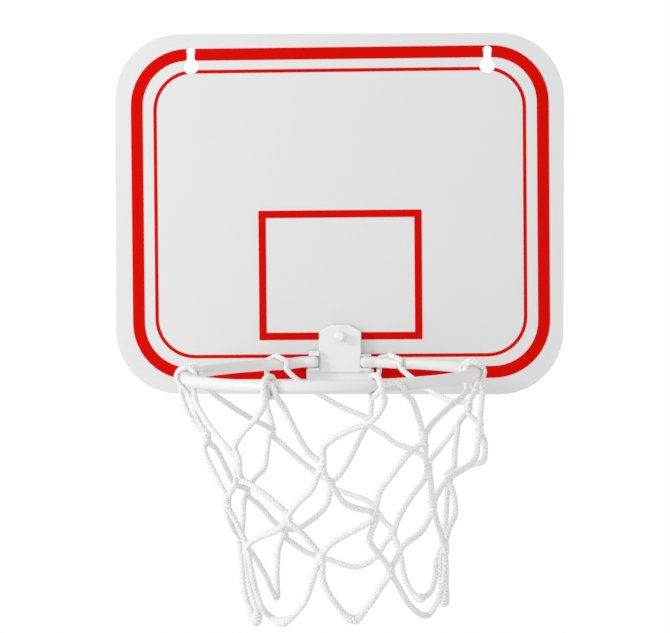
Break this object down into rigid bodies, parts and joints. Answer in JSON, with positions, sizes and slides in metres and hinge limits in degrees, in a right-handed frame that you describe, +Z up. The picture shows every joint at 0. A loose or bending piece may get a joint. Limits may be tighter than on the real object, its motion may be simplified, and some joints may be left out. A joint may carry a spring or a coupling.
{
  "type": "basketball hoop",
  "caption": "Small wall-hung basketball hoop: a rounded printed backboard with keyholes, a round rim whose ends turn in two clips of its bracket, so that it folds up, and a knotted cord net.",
  "frame": {"origin": "centre of the board's flat back face, which lies against the wall", "axes": "+X to the right of someone facing the board, +Z up, +Y into the wall, so the board's printed front and the rim face -Y"},
  "size_m": [0.28, 0.1794, 0.3446],
  "materials": {
    "board_plastic": "satin white moulded sheet",
    "red_ink": "satin red screen print",
    "bracket_plastic": "smooth white moulding",
    "rim_plastic": "smooth white moulding",
    "steel": "plain zinc-plated",
    "net_cord": "round braided white cord"
  },
  "bodies": {
    "board_assembly": {"backboard": "board_plastic", "border_stripe_upper": "red_ink", "border_stripe_lower": "red_ink", "border_line_upper": "red_ink", "border_line_lower": "red_ink", "target_box": "red_ink", "rim_bracket": "bracket_plastic", "bracket_peg": "bracket_plastic", "bracket_screw_left": "steel", "bracket_screw_right": "steel"},
    "rim_and_net": {"rim": "rim_plastic", "net_cord_right_rear": "net_cord", "net_cord_rear_right": "net_cord", "net_cord_rear_left": "net_cord", "net_cord_left_rear": "net_cord", "net_cord_left_front": "net_cord", "net_cord_front_left": "net_cord", "net_cord_front_right": "net_cord", "net_cord_right_front": "net_cord", "net_knot_right_rear": "net_cord", "net_knot_rear_right": "net_cord", "net_knot_rear_left": "net_cord", "net_knot_left_rear": "net_cord", "net_knot_left_front": "net_cord", "net_knot_front_left": "net_cord", "net_knot_front_right": "net_cord", "net_knot_right_front": "net_cord"}
  },
  "joints": [
    {"name": "rim_fold", "type": "hinge", "parent": "board_assembly", "child": "rim_and_net", "pos_m": [0.001, -0.0107, -0.0918], "axis": [-1, 0, 0], "range_deg": [0, 88]}
  ]
}
